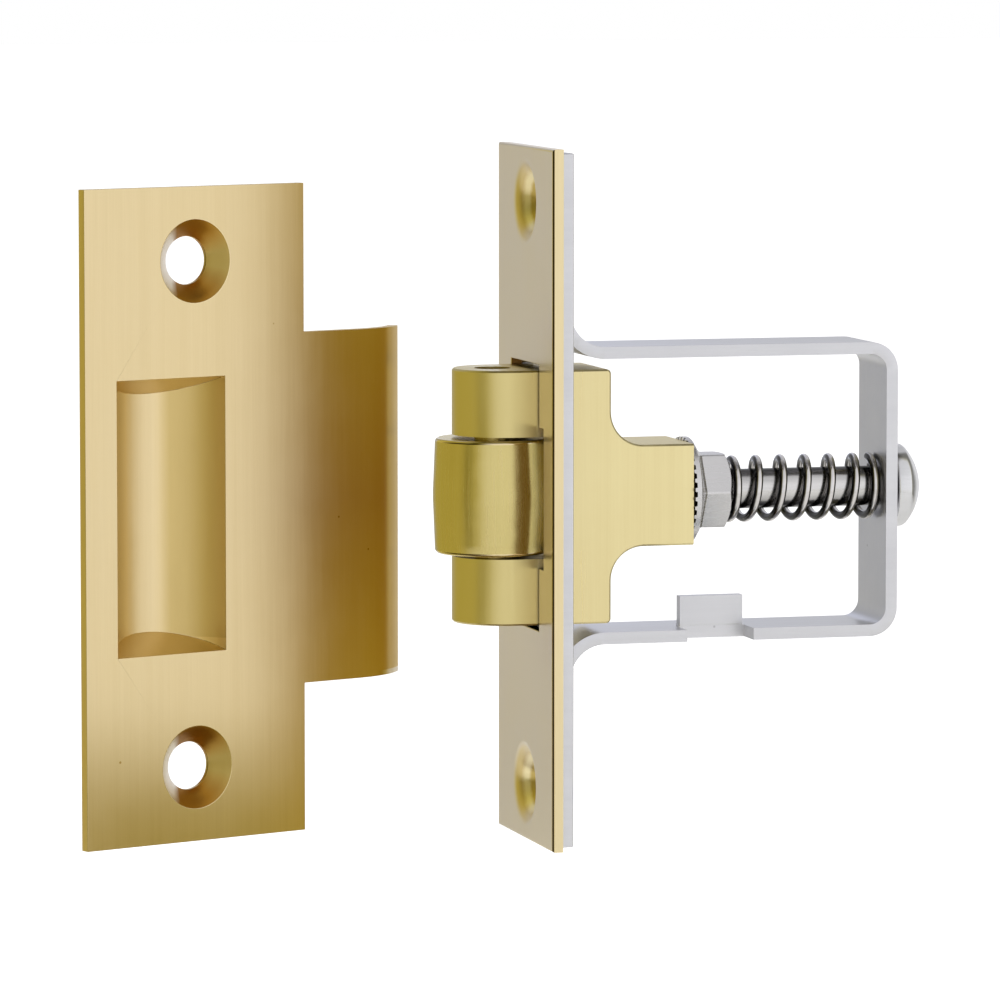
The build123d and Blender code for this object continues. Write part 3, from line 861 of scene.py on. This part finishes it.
def card(name, low, run, rise, tints, fade_along, fade_up):
    """Studio card that only reflections of the faces before it can see, soft at its edges."""
    low, run, rise = Vector(low), Vector(run), Vector(rise)
    mesh = bpy.data.meshes.new(name)
    verts = [low, low + run, low + run + rise, low + rise]
    mesh.from_pydata([tuple(v) for v in verts], [], [(3, 2, 1, 0)])
    layer = mesh.uv_layers.new(name="card")
    for k, uv in enumerate(((0, 1), (1, 1), (1, 0), (0, 0))):
        layer.data[k].uv = uv
    obj = new_object(name, mesh)
    tree, out, emit = light_tree(obj, name)
    place = coordinate(tree, "UV")
    tree.links.new(ramp(tree, place["Y"], tints), emit.inputs["Color"])
    geometry = tree.nodes.new("ShaderNodeNewGeometry")
    front = math_node(tree, "SUBTRACT", 1.0, geometry.outputs["Backfacing"])
    soft = math_node(tree, "MULTIPLY", ramp(tree, place["X"], fade_along), ramp(tree, place["Y"], fade_up))
    blend = tree.nodes.new("ShaderNodeMixShader")
    tree.links.new(math_node(tree, "MULTIPLY", soft, front), blend.inputs[0])
    tree.links.new(tree.nodes.new("ShaderNodeBsdfTransparent").outputs[0], blend.inputs[1])
    tree.links.new(emit.outputs[0], blend.inputs[2])
    tree.links.new(blend.outputs[0], out.inputs[0])
    for flag in ("visible_camera", "visible_diffuse", "visible_shadow", "visible_transmission"):
        setattr(obj, flag, False)


def even(colour):
    return [(0.0, colour), (1.0, colour)]


FULL = (1, 1, 1)
NONE = (0, 0, 0)
WHOLE = even(FULL)
SOFT_START = [(0.0, NONE), (0.2, FULL), (1.0, FULL)]
SOFT_ENDS = [(0.0, NONE), (0.15, FULL), (0.85, FULL), (1.0, NONE)]

light_dome()
# Beside the strike's lip, which mirrors it
card("card_right", (-0.0265, -0.0141, -0.042), (0.0093, 0.0149, 0), (0, 0, 0.084),
     [(0.0, (0.46, 0.36, 0.06)), (0.3, (0.34, 0.22, 0.015)), (0.5, (0.26, 0.145, 0.01)),
      (0.7, (0.31, 0.20, 0.015)), (1.0, (0.44, 0.33, 0.05))],
     [(0.0, NONE), (0.45, FULL), (1.0, FULL)], WHOLE)
# Just in front of the faceplate, beside the window, facing the roller
card("card_gap", (FRONT_X - 0.0002, -0.0113, -0.0078), (0, 0.0051, 0), (0, 0, 0.0156),
     even((0.17, 0.10, 0.015)), SOFT_START, WHOLE)
# Ahead of the roller and the nose, facing them
card("card_nose", (-0.0150, 0.0120, -0.0160), (0, -0.0205, 0), (0, 0, 0.032),
     even((0.56, 0.49, 0.15)), [(0.0, FULL), (0.85, FULL), (1.0, NONE)], WHOLE)
# Below the nut
card("card_under", (0.0145, -0.028, -0.035), (0, 0.018, 0), (0.014, 0, 0),
     even((0.42, 0.45, 0.47)), SOFT_START, WHOLE)
# Low in front of the strike, for its lower end
card("card_low", (-0.0385, -0.0522, -0.095), (0.0265, 0.0424, 0), (0, 0, 0.077),
     even((0.40, 0.33, 0.09)), WHOLE, [(0.0, FULL), (0.76, FULL), (0.92, NONE), (1.0, NONE)])
# Just above the floor, below the strike
card("card_foot", (-0.075, 0.025, -0.088), (0.085, 0, 0), (0, -0.065, 0),
     even((0.13, 0.07, 0.02)), SOFT_ENDS, SOFT_ENDS)

# Soft light from above
lamp_data = bpy.data.lights.new("top_light", "AREA")
lamp_data.shape = "RECTANGLE"
lamp_data.size = lamp_data.size_y = 0.3
lamp_data.energy = 1.2
lamp = new_object("top_light", lamp_data)
lamp.location = (0.0, -0.05, 0.38)
lamp.rotation_mode = "QUATERNION"
lamp.rotation_quaternion = (-lamp.location).to_track_quat("-Z", "Y")
lamp.visible_camera = False
lamp.visible_glossy = False

# Pale floor that keeps the object's shadow
bm = bmesh.new()
bmesh.ops.create_grid(bm, x_segments=1, y_segments=1, size=6.0)
floor = new_object("floor", new_mesh("floor", bm))
floor.location = (0, 0, -0.10)
floor_mat = bpy.data.materials.new("floor_white")
floor_mat.use_nodes = True
floor_tree = floor_mat.node_tree
floor_bsdf = floor_tree.nodes["Principled BSDF"]
floor_bsdf.inputs["Base Color"].default_value = (0.85, 0.85, 0.85, 1)
floor_bsdf.inputs["Roughness"].default_value = 0.8
floor_bsdf.inputs["Emission Color"].default_value = (1, 1, 1, 1)
ray = floor_tree.nodes.new("ShaderNodeLightPath").outputs
glow = math_node(floor_tree, "MULTIPLY_ADD", ray["Is Glossy Ray"], 0.1, ray["Is Camera Ray"])
glow = math_node(floor_tree, "MULTIPLY", glow, 0.75)
floor_tree.links.new(glow, floor_bsdf.inputs["Emission Strength"])
floor.data.materials.append(floor_mat)

bpy.context.scene.view_settings.view_transform = "Standard"
